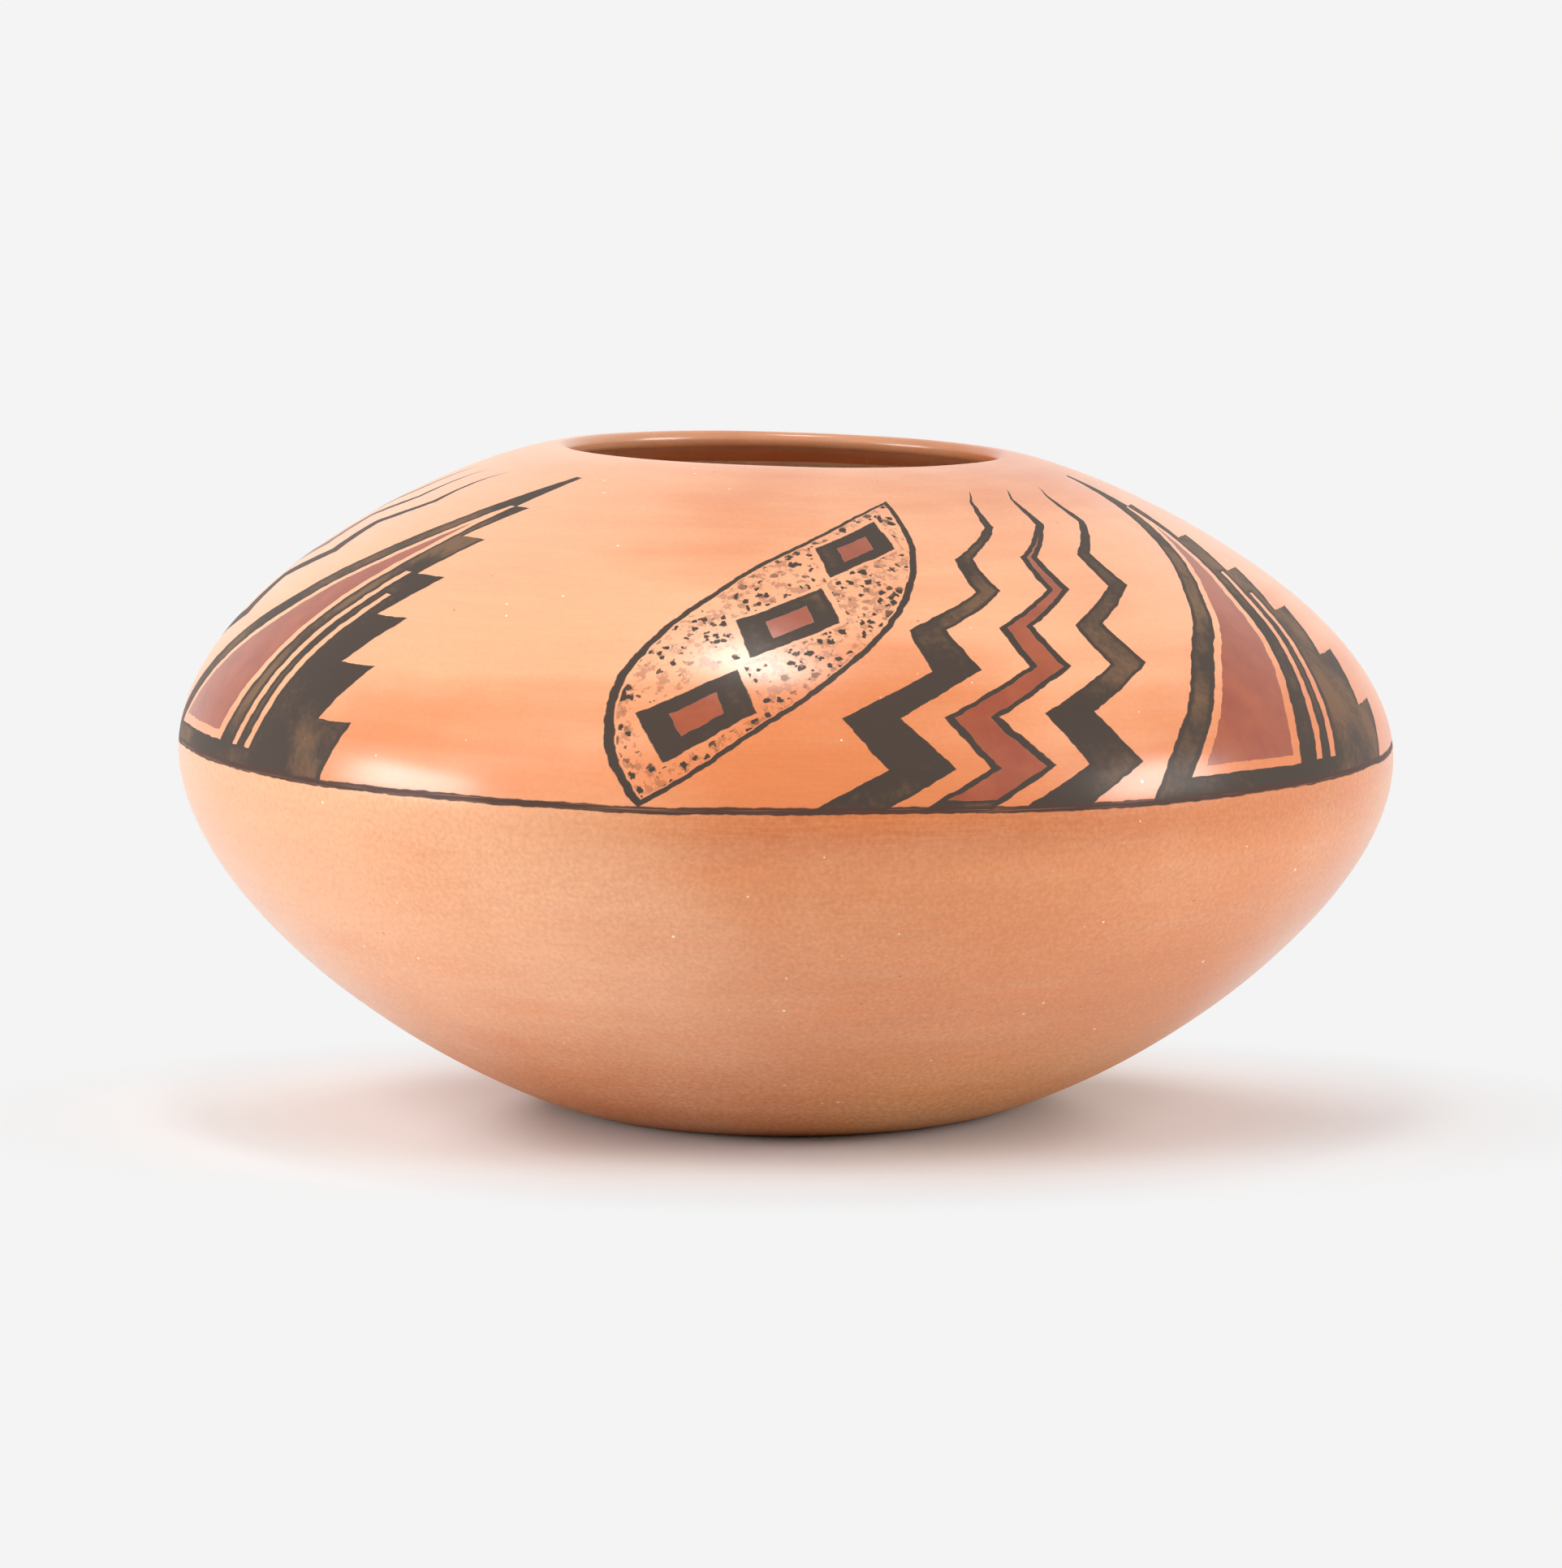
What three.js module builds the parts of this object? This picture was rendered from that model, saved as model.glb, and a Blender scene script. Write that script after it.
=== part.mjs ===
import * as THREE from "three";

// A low, wide jar of fired clay, hand-built the way such a jar is raised: a base pat is pressed
// out in a bowl-shaped mould, wall coils are lapped one on another up over the belly, and a last
// coil makes the rim. The coils are luted face to face, scraped to one smooth wall and fired, so
// nothing moves. Sizes are in millimetres, +Z is up, and the jar stands on z = 0 round the Z axis.

const { degToRad, smoothstep } = THREE.MathUtils;

// The outside, measured from the axis and from the surface that the jar stands on
const BELLY_RADIUS = 140;
const BELLY_HEIGHT = 82;
const JAR_HEIGHT = 151.5; // to the crest of the lip
const REST_RADIUS = 50.5; // the flat that the jar rests on
const MOUTH_RADIUS = 49.2; // clear opening inside the lip

// How the outside curves: where its ends point, and how far each end pulls the curve its way
const REST_RISE = degToRad(14);
const REST_PULL = 34;
const BELLY_PULL = 36;
const LIP_SLOPE = degToRad(5);
const LIP_PULL = 22;

// The clay
const FLOOR = 7; // runs out into the wall across the base pat
const WALL = 5;
const LIP = 4.2; // the rim coil is pinched down to this at its rounded edge
const COIL_SWELL = 0.4; // scraping leaves each coil this much fuller inside, at its middle

// The courses, measured along the wall: a joint falls on the belly, where the wall turns in
const PAT_REACH = 34; // from the edge of the rest
const COILS_BELOW_BELLY = 4;
const COILS_ABOVE_BELLY = 4;
const RIM_COIL = 17;
const LAP = 4; // each coil reaches this far down inside the one below it

// What the hand left: the rim dips and the shoulder drops towards +X, and the jar leans to -X
const RIM_TILT = degToRad(1.5);
const TILT_GROWTH = 1.7; // the dip grows with this power of the way up the wall
const LEAN = 1.5; // of the crest against the rest

// Fineness of the surface
const AROUND = 72;
const PAT_STEPS = 4;
const COIL_STEPS = 3;
const RIM_STEPS = 2;
const LIP_STEPS = 6;

const CLAY = { color: 0xdf9a6c, roughness: 0.4, metalness: 0 };

// The outside is one curve from the edge of the rest, round the belly, to the lip. The second
// pull at the belly is the one that gives the same curvature below the belly as above it.
const lip = {
  centre: new THREE.Vector2(MOUTH_RADIUS + LIP / 2, JAR_HEIGHT - LIP / 2),
  radius: LIP / 2,
};
const lipStart = new THREE.Vector2(
  lip.centre.x + lip.radius * Math.sin(LIP_SLOPE),
  lip.centre.y + lip.radius * Math.cos(LIP_SLOPE),
);
const belly = new THREE.Vector2(BELLY_RADIUS, BELLY_HEIGHT);
const restPull = new THREE.Vector2(
  REST_RADIUS + REST_PULL * Math.cos(REST_RISE),
  REST_PULL * Math.sin(REST_RISE),
);
const lipPull = new THREE.Vector2(
  lipStart.x + LIP_PULL * Math.cos(LIP_SLOPE),
  lipStart.y - LIP_PULL * Math.sin(LIP_SLOPE),
);
const pullBelow = BELLY_PULL * Math.sqrt((belly.x - restPull.x) / (belly.x - lipPull.x));

const outline = new THREE.CurvePath();
outline.add(
  new THREE.CubicBezierCurve(
    new THREE.Vector2(REST_RADIUS, 0),
    restPull,
    new THREE.Vector2(belly.x, belly.y - pullBelow),
    belly,
  ),
);
outline.add(
  new THREE.CubicBezierCurve(
    belly,
    new THREE.Vector2(belly.x, belly.y + BELLY_PULL),
    lipPull,
    lipStart,
  ),
);
const wallLength = outline.getLength();
const bellyAlong = outline.curves[0].getLength();
const rimAlong = wallLength - RIM_COIL;

/** Thickness of the wall at a distance along the outline. */
function thicknessAt(distance) {
  const footGain = (FLOOR - WALL) * (1 - smoothstep(distance, 0, PAT_REACH));
  const rimLoss = (WALL - LIP) * smoothstep(distance, rimAlong, wallLength);
  return WALL + footGain - rimLoss;
}

/** A point of a section, with the distance along the wall that its lean follows. */
function sectionPoint(point, along) {
  return { radius: point.x, height: point.y, along };
}

/** The point of the outside at a distance along the outline. */
function outsidePoint(distance) {
  return outline.getPoint(distance / wallLength);
}

/** The point straight in from the outside one, through the wall and any extra thickness. */
function insidePoint(distance, extra = 0) {
  const direction = outline.getTangent(distance / wallLength);
  const inwards = new THREE.Vector2(-direction.y, direction.x);
  return outsidePoint(distance).addScaledVector(inwards, thicknessAt(distance) + extra);
}

/** The outside of a course, from its lower edge to its upper one. */
function outsideOf(course, steps) {
  return Array.from({ length: steps + 1 }, (_, i) => {
    const along = course.from + ((course.to - course.from) * i) / steps;
    return sectionPoint(outsidePoint(along), along);
  });
}

/** The inside of a course, from its upper edge to its lower one, lapped down over its neighbours. */
function insideOf(course, steps, swell) {
  const low = course.from - (course.lapBelow ? LAP : 0);
  const high = course.to - (course.lapAbove ? LAP : 0);
  return Array.from({ length: steps + 1 }, (_, i) => {
    const share = 1 - i / steps;
    const point = insidePoint(low + (high - low) * share, swell * Math.sin(Math.PI * share));
    return sectionPoint(point, course.from + (course.to - course.from) * share);
  });
}

/** The section of the base pat: the rest, the foot of the wall, and the floor inside. */
function basePatSection() {
  const pat = { from: 0, to: PAT_REACH, lapBelow: false, lapAbove: true };
  const inside = insideOf(pat, PAT_STEPS, 0);
  const floorHeight = inside.at(-1).height;
  return [
    { radius: 0, height: 0, along: 0 },
    { radius: REST_RADIUS / 2, height: 0, along: 0 },
    ...outsideOf(pat, PAT_STEPS),
    ...inside,
    { radius: REST_RADIUS / 2, height: floorHeight, along: 0 },
    { radius: 0, height: floorHeight, along: 0 },
  ];
}

/** Where the wall coils start and end: even courses up to the belly, and even ones above it. */
function wallCoilEdges() {
  const below = (bellyAlong - PAT_REACH) / COILS_BELOW_BELLY;
  const above = (rimAlong - bellyAlong) / COILS_ABOVE_BELLY;
  const edges = [];
  for (let i = 0; i < COILS_BELOW_BELLY; i += 1) edges.push(PAT_REACH + i * below);
  for (let i = 0; i < COILS_ABOVE_BELLY; i += 1) edges.push(bellyAlong + i * above);
  return [...edges, rimAlong];
}

/** The closed section of a wall coil. */
function wallCoilSection(from, to) {
  const coil = { from, to, lapBelow: true, lapAbove: true };
  const points = [...outsideOf(coil, COIL_STEPS), ...insideOf(coil, COIL_STEPS, COIL_SWELL)];
  return [...points, points[0]];
}

/** The closed section of the rim coil, whose edge is rounded over into the mouth. */
function rimCoilSection() {
  const rim = { from: rimAlong, to: wallLength, lapBelow: true, lapAbove: false };
  const edge = [];
  for (let i = 1; i < LIP_STEPS; i += 1) {
    const angle = Math.PI / 2 - LIP_SLOPE + (Math.PI * i) / LIP_STEPS;
    const point = new THREE.Vector2(Math.cos(angle), Math.sin(angle));
    edge.push(sectionPoint(point.multiplyScalar(lip.radius).add(lip.centre), wallLength));
  }
  const points = [...outsideOf(rim, RIM_STEPS), ...edge, ...insideOf(rim, RIM_STEPS, 0)];
  return [...points, points[0]];
}

/** Leans a revolved section as the hand did, each ring of it by its place along the wall. */
function leanByHand(geometry, section) {
  const position = geometry.getAttribute("position");
  for (let i = 0; i < position.count; i += 1) {
    const { along } = section[i % section.length];
    const dip = Math.tan(RIM_TILT) * (along / wallLength) ** TILT_GROWTH;
    const x = position.getX(i);
    const z = position.getZ(i) - x * dip;
    position.setX(i, x + LEAN * (0.5 - z / JAR_HEIGHT));
    position.setZ(i, z);
  }
  geometry.computeVertexNormals();
}

/** One course of clay, revolved from its section. */
function course(name, section) {
  const profile = section.map((point) => new THREE.Vector2(point.radius, point.height));
  const geometry = new THREE.LatheGeometry(profile, AROUND);
  geometry.rotateX(Math.PI / 2); // a lathe turns about Y, and the jar stands on Z
  leanByHand(geometry, section);
  const mesh = new THREE.Mesh(geometry, new THREE.MeshStandardMaterial(CLAY));
  mesh.name = name;
  return mesh;
}

const jar = new THREE.Group();
jar.name = "jar";
jar.add(course("base_pat", basePatSection()));
const edges = wallCoilEdges();
for (let i = 1; i < edges.length; i += 1) {
  jar.add(course(`wall_coil_${i}`, wallCoilSection(edges[i - 1], edges[i])));
}
jar.add(course("rim_coil", rimCoilSection()));

export default jar;
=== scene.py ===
# %% [markdown]
# # A coiled, stone-polished and painted jar
# This lesson dresses a measured CAD model of a low, wide clay jar, and lights it as on a
# photographer's white table. The CAD model holds ten courses of clay, one lapped on another.
# On the finished jar they are scraped into a single wall, so here one skin stands for all ten.
# The work goes from the table and the lamps, through the wall of the jar, to clay and paint.

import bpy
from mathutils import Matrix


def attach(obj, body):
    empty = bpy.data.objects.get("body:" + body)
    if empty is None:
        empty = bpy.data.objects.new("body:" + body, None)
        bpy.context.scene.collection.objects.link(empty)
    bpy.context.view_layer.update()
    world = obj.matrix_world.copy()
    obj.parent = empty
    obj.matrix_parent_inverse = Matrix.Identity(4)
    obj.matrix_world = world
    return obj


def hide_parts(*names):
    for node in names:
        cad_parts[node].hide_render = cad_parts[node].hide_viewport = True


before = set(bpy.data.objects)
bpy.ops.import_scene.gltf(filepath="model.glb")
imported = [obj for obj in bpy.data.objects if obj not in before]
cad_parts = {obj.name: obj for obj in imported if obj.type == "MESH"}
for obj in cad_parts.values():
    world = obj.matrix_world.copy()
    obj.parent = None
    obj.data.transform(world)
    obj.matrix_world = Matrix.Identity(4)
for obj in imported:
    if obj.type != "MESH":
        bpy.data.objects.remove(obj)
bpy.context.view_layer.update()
print("courses of clay:", sorted(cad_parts))

# %% [markdown]
# ## The camera
# The picture was taken with a long lens from a little above the belly. The place of the
# camera was worked out from the outline: the widest line, the two edges of the mouth and the
# foot. A long lens keeps the jar from bulging towards us, so 147 mm is used and not 50 mm.

# %% Place the camera
import bpy
import math
from mathutils import Color, Vector, noise
from mathutils.geometry import interpolate_bezier

CAMERA_PLACE = Vector((-0.0012, -1.470, 0.2657))
CAMERA_DOWN = math.radians(7.45)
LENS = 146.96

camera_data = bpy.data.cameras.new("photographer")
camera_data.lens = LENS
camera_data.sensor_width = 36.0
camera_data.clip_end = 50.0
camera = bpy.data.objects.new("photographer", camera_data)
camera.location = CAMERA_PLACE
camera.rotation_euler = (math.radians(90) - CAMERA_DOWN, 0, 0)
bpy.context.scene.collection.objects.link(camera)
bpy.context.scene.camera = camera
bpy.context.scene.view_settings.view_transform = "Standard"
print("the camera stands", round(-camera.location.y, 3), "m in front of the jar")

# %% [markdown]
# ## A short way to write node sums
# Patterns on the jar are sums and tests on a place, such as "how far left of this edge".
# Each Math node does one step, and a band of painted figures needs hundreds. The class below
# lets us write `(edge - turn) * 2` and adds the nodes for it, so the code reads as the sum.

# %% Numbers that change over a surface
class Reading:
    """A number that changes over the surface. Each step of a sum on it adds one Math node."""

    def __init__(self, tree, socket):
        self.tree = tree
        self.socket = socket

    def maths(self, operation, *others, clamp=False):
        node = self.tree.nodes.new("ShaderNodeMath")
        node.operation = operation
        node.use_clamp = clamp
        for entry, value in zip(node.inputs, (self, *others)):
            if isinstance(value, Reading):
                self.tree.links.new(value.socket, entry)
            else:
                entry.default_value = value
        return Reading(self.tree, node.outputs[0])

    def __add__(self, other):
        return self.maths("ADD", other)

    def __sub__(self, other):
        return self.maths("SUBTRACT", other)

    def __mul__(self, other):
        return self.maths("MULTIPLY", other)

    def __truediv__(self, other):
        return self.maths("DIVIDE", other)

    def __pow__(self, other):
        return self.maths("POWER", other)

    def __abs__(self):
        return self.maths("ABSOLUTE")

    def __rsub__(self, other):
        return self * -1.0 + other

    def clamped(self):
        return self.maths("ADD", 0.0, clamp=True)

    def least(self, other):
        return self.maths("MINIMUM", other)

    def most(self, other):
        return self.maths("MAXIMUM", other)

    def smooth(self, low, high, start=0.0, end=1.0):
        """Rises without a corner from start to end as this number goes from low to high."""
        node = self.tree.nodes.new("ShaderNodeMapRange")
        node.interpolation_type = "SMOOTHSTEP"
        for entry, value in zip(node.inputs[1:5], (low, high, start, end)):
            entry.default_value = value
        self.tree.links.new(self.socket, node.inputs[0])
        return Reading(self.tree, node.outputs[0])


print("a Reading does:", [word for word in dir(Reading) if not word.startswith("_")])

# %% [markdown]
# Textures and mixes need the same short way. Colours are written as the numbers from 0 to 255
# that a screen shows, because those are what the eye reads off a photograph, and are turned
# into the linear light that a renderer works in.

# %% Helpers for colours, textures and mixes
def from_screen(red, green, blue):
    """The linear colour, with its alpha, of screen values from 0 to 255."""
    colour = Color((red / 255, green / 255, blue / 255)).from_srgb_to_scene_linear()
    return (colour.r, colour.g, colour.b, 1.0)


def connect(tree, value, entry):
    """Puts a Reading, a socket or a plain value into a node's input."""
    if isinstance(value, Reading):
        tree.links.new(value.socket, entry)
    elif isinstance(value, bpy.types.NodeSocket):
        tree.links.new(value, entry)
    else:
        entry.default_value = value


def mix_colours(tree, share, first, second):
    """The second colour laid over the first one by a share from 0 to 1."""
    node = tree.nodes.new("ShaderNodeMix")
    node.data_type = "RGBA"
    connect(tree, share, node.inputs[0])
    connect(tree, first, node.inputs[6])
    connect(tree, second, node.inputs[7])
    return node.outputs[2]


def noise_at(tree, place, scale, detail=2.0, roughness=0.5):
    """Soft cloudy noise, mostly between 0.3 and 0.7, read at a place."""
    node = tree.nodes.new("ShaderNodeTexNoise")
    connect(tree, place, node.inputs["Vector"])
    node.inputs["Scale"].default_value = scale
    node.inputs["Detail"].default_value = detail
    node.inputs["Roughness"].default_value = roughness
    return Reading(tree, node.outputs["Fac"])


def vector_maths(tree, operation, first, second=None):
    """One step of a sum on vectors."""
    node = tree.nodes.new("ShaderNodeVectorMath")
    node.operation = operation
    connect(tree, first, node.inputs[0])
    if second is not None:
        connect(tree, second, node.inputs[1])
    return node.outputs[0]


def split(tree, vector):
    """The three numbers of a vector."""
    node = tree.nodes.new("ShaderNodeSeparateXYZ")
    connect(tree, vector, node.inputs[0])
    return [Reading(tree, socket) for socket in node.outputs]


def join(tree, *numbers):
    """Three numbers put together as a vector."""
    node = tree.nodes.new("ShaderNodeCombineXYZ")
    for entry, number in zip(node.inputs, numbers):
        connect(tree, number, entry)
    return node.outputs[0]


def facing(tree, place):
    """The level direction of a place from the jar's axis: how far east, and how far north."""
    level = vector_maths(tree, "MULTIPLY", place, (1, 1, 0))
    east, north, _ = split(tree, vector_maths(tree, "NORMALIZE", level))
    return east, north


print("pale clay in linear light:", [round(part, 3) for part in from_screen(234, 170, 128)])

# %% [markdown]
# ## The table
# The picture has a white table that runs out of sight without a line, and a soft shadow under
# the jar. One flat floor does it. Close to the jar it is plain matt white, and takes the
# shadow. Further off, what the camera and the polish see of it fades into the glow of the
# white surroundings, so no horizon shows and no extra light is needed. The lamps would leave a
# pale ring where the fading starts, so the white that is seen there is set a little lower.
# The shadow is wider than it is deep, and so is the oval that both changes follow.

# %% Make the floor
import bmesh

WHITE = from_screen(244, 244, 244)
FLOOR_WHITE = from_screen(223, 224, 225)
FLOOR_REACH = 6.0
SHADOW_MIDDLE = (0.0, -0.025, 0.0)
SHADOW_SQUEEZE = (1.0, 1.78, 1.0)
GLOW_FROM = 0.088
GLOW_TO = 0.214
DIM_FROM = 0.137
DIM_BY = 0.225


def seen_directly(tree):
    """1 for what the camera, a polish or a clear piece sees, and 0 for light that only fills."""
    path = tree.nodes.new("ShaderNodeLightPath")
    camera_ray = Reading(tree, path.outputs["Is Camera Ray"])
    polish_ray = Reading(tree, path.outputs["Is Glossy Ray"])
    clear_ray = Reading(tree, path.outputs["Is Transmission Ray"])
    return camera_ray.most(polish_ray).most(clear_ray)


floor_mesh = bpy.data.meshes.new("floor")
shape = bmesh.new()
bmesh.ops.create_grid(shape, x_segments=1, y_segments=1, size=FLOOR_REACH)
shape.to_mesh(floor_mesh)
shape.free()
floor = bpy.data.objects.new("floor", floor_mesh)
bpy.context.scene.collection.objects.link(floor)
print("the floor is", 2 * FLOOR_REACH, "m across")

# %% Give the floor its matt white and its glow
floor_material = bpy.data.materials.new("white_table")
floor_material.use_nodes = True
tree = floor_material.node_tree
tree.nodes.clear()
matt = tree.nodes.new("ShaderNodeBsdfDiffuse")
glow = tree.nodes.new("ShaderNodeEmission")
glow.inputs["Color"].default_value = WHITE
place = tree.nodes.new("ShaderNodeTexCoord").outputs["Object"]
from_middle = vector_maths(tree, "SUBTRACT", place, SHADOW_MIDDLE)
squeezed = vector_maths(tree, "MULTIPLY", from_middle, SHADOW_SQUEEZE)
measure = tree.nodes.new("ShaderNodeVectorMath")
measure.operation = "LENGTH"
connect(tree, squeezed, measure.inputs[0])
distance = Reading(tree, measure.outputs["Value"])
seen_part = seen_directly(tree)
left_over = 1.0 - distance.smooth(DIM_FROM, GLOW_TO, 0.0, DIM_BY) * seen_part
dimming = join(tree, left_over, left_over, left_over)
white = vector_maths(tree, "MULTIPLY", FLOOR_WHITE[:3], dimming)
connect(tree, white, matt.inputs["Color"])
blend = tree.nodes.new("ShaderNodeMixShader")
connect(tree, distance.smooth(GLOW_FROM, GLOW_TO) * seen_part, blend.inputs[0])
tree.links.new(matt.outputs[0], blend.inputs[1])
tree.links.new(glow.outputs[0], blend.inputs[2])
out = tree.nodes.new("ShaderNodeOutputMaterial")
tree.links.new(blend.outputs[0], out.inputs["Surface"])
floor_mesh.materials.append(floor_material)
print("the floor turns to glow between", GLOW_FROM, "and", GLOW_TO, "m from the shadow's middle")

# %% [markdown]
# ## The white surroundings
# A polished pot shows the room. In the picture the rim of the shoulder turns almost white,
# because polish mirrors more and more as it turns away from us, and there is white all round.
# So the camera and the polish see plain white, while the fill light from the same surroundings
# is weaker: the lamps do most of the lighting.

# %% Make the surroundings
FILL = 0.08
FILL_TINT = (1.0, 0.99, 0.98, 1.0)

world = bpy.data.worlds.new("white_room")
world.use_nodes = True
bpy.context.scene.world = world
tree = world.node_tree
tree.nodes.clear()
seen = tree.nodes.new("ShaderNodeBackground")
seen.inputs["Color"].default_value = WHITE
fill = tree.nodes.new("ShaderNodeBackground")
fill.inputs["Color"].default_value = FILL_TINT
fill.inputs["Strength"].default_value = FILL
blend = tree.nodes.new("ShaderNodeMixShader")
connect(tree, seen_directly(tree), blend.inputs[0])
tree.links.new(fill.outputs[0], blend.inputs[1])
tree.links.new(seen.outputs[0], blend.inputs[2])
out = tree.nodes.new("ShaderNodeOutputWorld")
tree.links.new(blend.outputs[0], out.inputs["Surface"])
print("fill light from all round:", FILL)

# %% [markdown]
# ## The lamps
# The shine tells where the lamps stood. On a round form a highlight sits where the surface
# faces halfway between the camera and the lamp, and the jar has three: one on the shoulder
# from a small soft light overhead, and one on each flank from wide soft lights at the sides.
# A wide lamp makes a soft shadow, and lamps on both sides give the shadow its two long lobes.

# %% Hang the lamps
JAR_MIDDLE = (0, 0, 0.06)


def soft_lamp(name, target, azimuth, elevation, distance, width, height, watts):
    """A softbox aimed at a point. Azimuth 0 is on the camera's side, and 90 is to the right."""
    turn = math.radians(azimuth)
    rise = math.radians(elevation)
    level = math.cos(rise)
    way = Vector((math.sin(turn) * level, -math.cos(turn) * level, math.sin(rise)))
    data = bpy.data.lights.new(name, "AREA")
    data.shape = "RECTANGLE"
    data.size = width
    data.size_y = height
    data.energy = watts
    lamp = bpy.data.objects.new(name, data)
    lamp.location = Vector(target) + way * distance
    lamp.rotation_euler = (-way).to_track_quat("-Z", "Y").to_euler()
    bpy.context.scene.collection.objects.link(lamp)
    return lamp


SHOULDER_SHINE = (-0.008, -0.122, 0.116)
LEFT_SHINE = (-0.083, -0.111, 0.091)
RIGHT_SHINE = (0.080, -0.113, 0.091)
# In each row: azimuth and elevation in degrees, distance, width and height in metres, watts
shining = [
    soft_lamp("overhead_softbox", SHOULDER_SHINE, -38, 86, 1.1, 0.26, 0.17, 3.2),
    soft_lamp("left_softbox", LEFT_SHINE, -75, 11, 1.5, 0.72, 0.40, 10.7),
    soft_lamp("right_softbox", RIGHT_SHINE, 75, 16, 1.5, 0.70, 0.50, 11.3),
]
print("lamps that show in the polish:", [lamp.name for lamp in shining])

# %% [markdown]
# The rest of the light comes off the white walls and the table around such a set, so it has
# no edge that a polish could mirror. Wide lamps stand in for those walls, and are hidden from
# the polish, which sees the plain white of the surroundings in their place.

# %% Add the light off the white walls
walls = [
    soft_lamp("left_wall", JAR_MIDDLE, -48, 35, 1.6, 0.9, 0.9, 14.4),
    soft_lamp("right_wall", JAR_MIDDLE, 52, 35, 1.6, 0.9, 0.9, 9.5),
    soft_lamp("back_left_wall", JAR_MIDDLE, -150, 18, 1.6, 0.8, 0.20, 20.0),
    soft_lamp("back_right_wall", JAR_MIDDLE, 150, 20, 1.6, 0.8, 0.20, 11.2),
]
for wall in walls:
    wall.visible_glossy = False
print("walls that only fill:", [lamp.name for lamp in walls])

# %% [markdown]
# ## The outline of the jar
# The wall is one line: out from the narrow foot, round the belly, and back in over a nearly
# flat shoulder to the lip. It could be drawn by eye, but the skin must lie on the CAD solids,
# so it is drawn from the same few sizes. Two smooth curves meet at the belly, where both run
# straight up, and a half circle rounds the lip over.

# %% Draw the outside line
MM = 0.001
FOOT = Vector((50.5, 0)) * MM
BELLY = Vector((140, 82)) * MM
MOUTH_RADIUS = 49.2 * MM
JAR_HEIGHT = 151.5 * MM
LIP = 4.2 * MM
FOOT_RISE = math.radians(14)
FOOT_PULL = 34 * MM
BELLY_PULL = 36 * MM
LIP_SLOPE = math.radians(5)
LIP_PULL = 22 * MM
POINTS_BELOW = 49
POINTS_ABOVE = 61

lip_middle = Vector((MOUTH_RADIUS + LIP / 2, JAR_HEIGHT - LIP / 2))
lip_start = lip_middle + Vector((math.sin(LIP_SLOPE), math.cos(LIP_SLOPE))) * LIP / 2
foot_handle = FOOT + Vector((math.cos(FOOT_RISE), math.sin(FOOT_RISE))) * FOOT_PULL
lip_handle = lip_start + Vector((math.cos(LIP_SLOPE), -math.sin(LIP_SLOPE))) * LIP_PULL
pull_below = BELLY_PULL * math.sqrt((BELLY.x - foot_handle.x) / (BELLY.x - lip_handle.x))
under_belly = BELLY - Vector((0, pull_below))
over_belly = BELLY + Vector((0, BELLY_PULL))
below = interpolate_bezier(FOOT, foot_handle, under_belly, BELLY, POINTS_BELOW)
above = interpolate_bezier(BELLY, over_belly, lip_handle, lip_start, POINTS_ABOVE)
outside = [Vector(point[:2]) for point in list(below) + list(above)[1:]]
steps = [(b - a).length for a, b in zip(outside, outside[1:])]
along = [sum(steps[:i]) for i in range(len(outside))]
WALL_LENGTH = along[-1]
BELLY_ALONG = along[POINTS_BELOW - 1]
print("the wall is", round(WALL_LENGTH / MM, 2), "mm long, belly at", round(BELLY_ALONG / MM, 2))

# %% [markdown]
# ## The thickness of the clay
# A scraped jar is about 5 mm thick, heavier in the floor and pinched thinner at the lip, and
# inside each coil stays a little fuller in its middle, where the scraper rode over it. The
# Solidify modifier gives one thickness all over, so the inside line is found here by stepping
# in from the outside line, square to it, by a thickness that changes along the way.

# %% Draw the inside line
FLOOR_THICK = 7 * MM
WALL_THICK = 5 * MM
PAT_REACH = 34 * MM
RIM_COIL = 17 * MM
COIL_SWELL = 0.4 * MM
COILS = 4  # between the base pat and the belly, and as many above it
rim_along = WALL_LENGTH - RIM_COIL


def ease(value, low, high):
    """0 below low, 1 above high, and a smooth rise between."""
    share = min(max((value - low) / (high - low), 0), 1)
    return share * share * (3 - 2 * share)


def thickness(way):
    """Thickness of the wall at a distance along the outside line."""
    foot_gain = (FLOOR_THICK - WALL_THICK) * (1 - ease(way, 0, PAT_REACH))
    rim_loss = (WALL_THICK - LIP) * ease(way, rim_along, WALL_LENGTH)
    return WALL_THICK + foot_gain - rim_loss


def coil_swell(way):
    """How much fuller the clay is inside at the middle of each wall coil."""
    start, end = (PAT_REACH, BELLY_ALONG) if way < BELLY_ALONG else (BELLY_ALONG, rim_along)
    share = COILS * (way - start) / (end - start)
    return COIL_SWELL * math.sin(math.pi * (share % 1)) if 0 < share < COILS else 0.0


inside = []
for i, point in enumerate(outside):
    direction = outside[min(i + 1, len(outside) - 1)] - outside[max(i - 1, 0)]
    square_in = Vector((-direction.y, direction.x)).normalized()
    inside.append(point + square_in * (thickness(along[i]) + coil_swell(along[i])))
heights = [round(point.y / MM, 2) for point in (inside[0], inside[-1])]
print("the inside line rises from", heights[0], "to", heights[1], "mm")

# %% [markdown]
# ## One section, turned round the axis
# The section is one closed run of points: the flat to stand on, the outside, the lip, the
# inside and the floor. `bmesh.ops.spin` turns it once round the axis. Two things are kept
# with each point: how far along the wall it lies, for the lean of the jar, and how far along
# the whole section, for the pattern. The spin copies both.

# %% Write the section into a mesh
AROUND = 320
LIP_STEPS = 12

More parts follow.
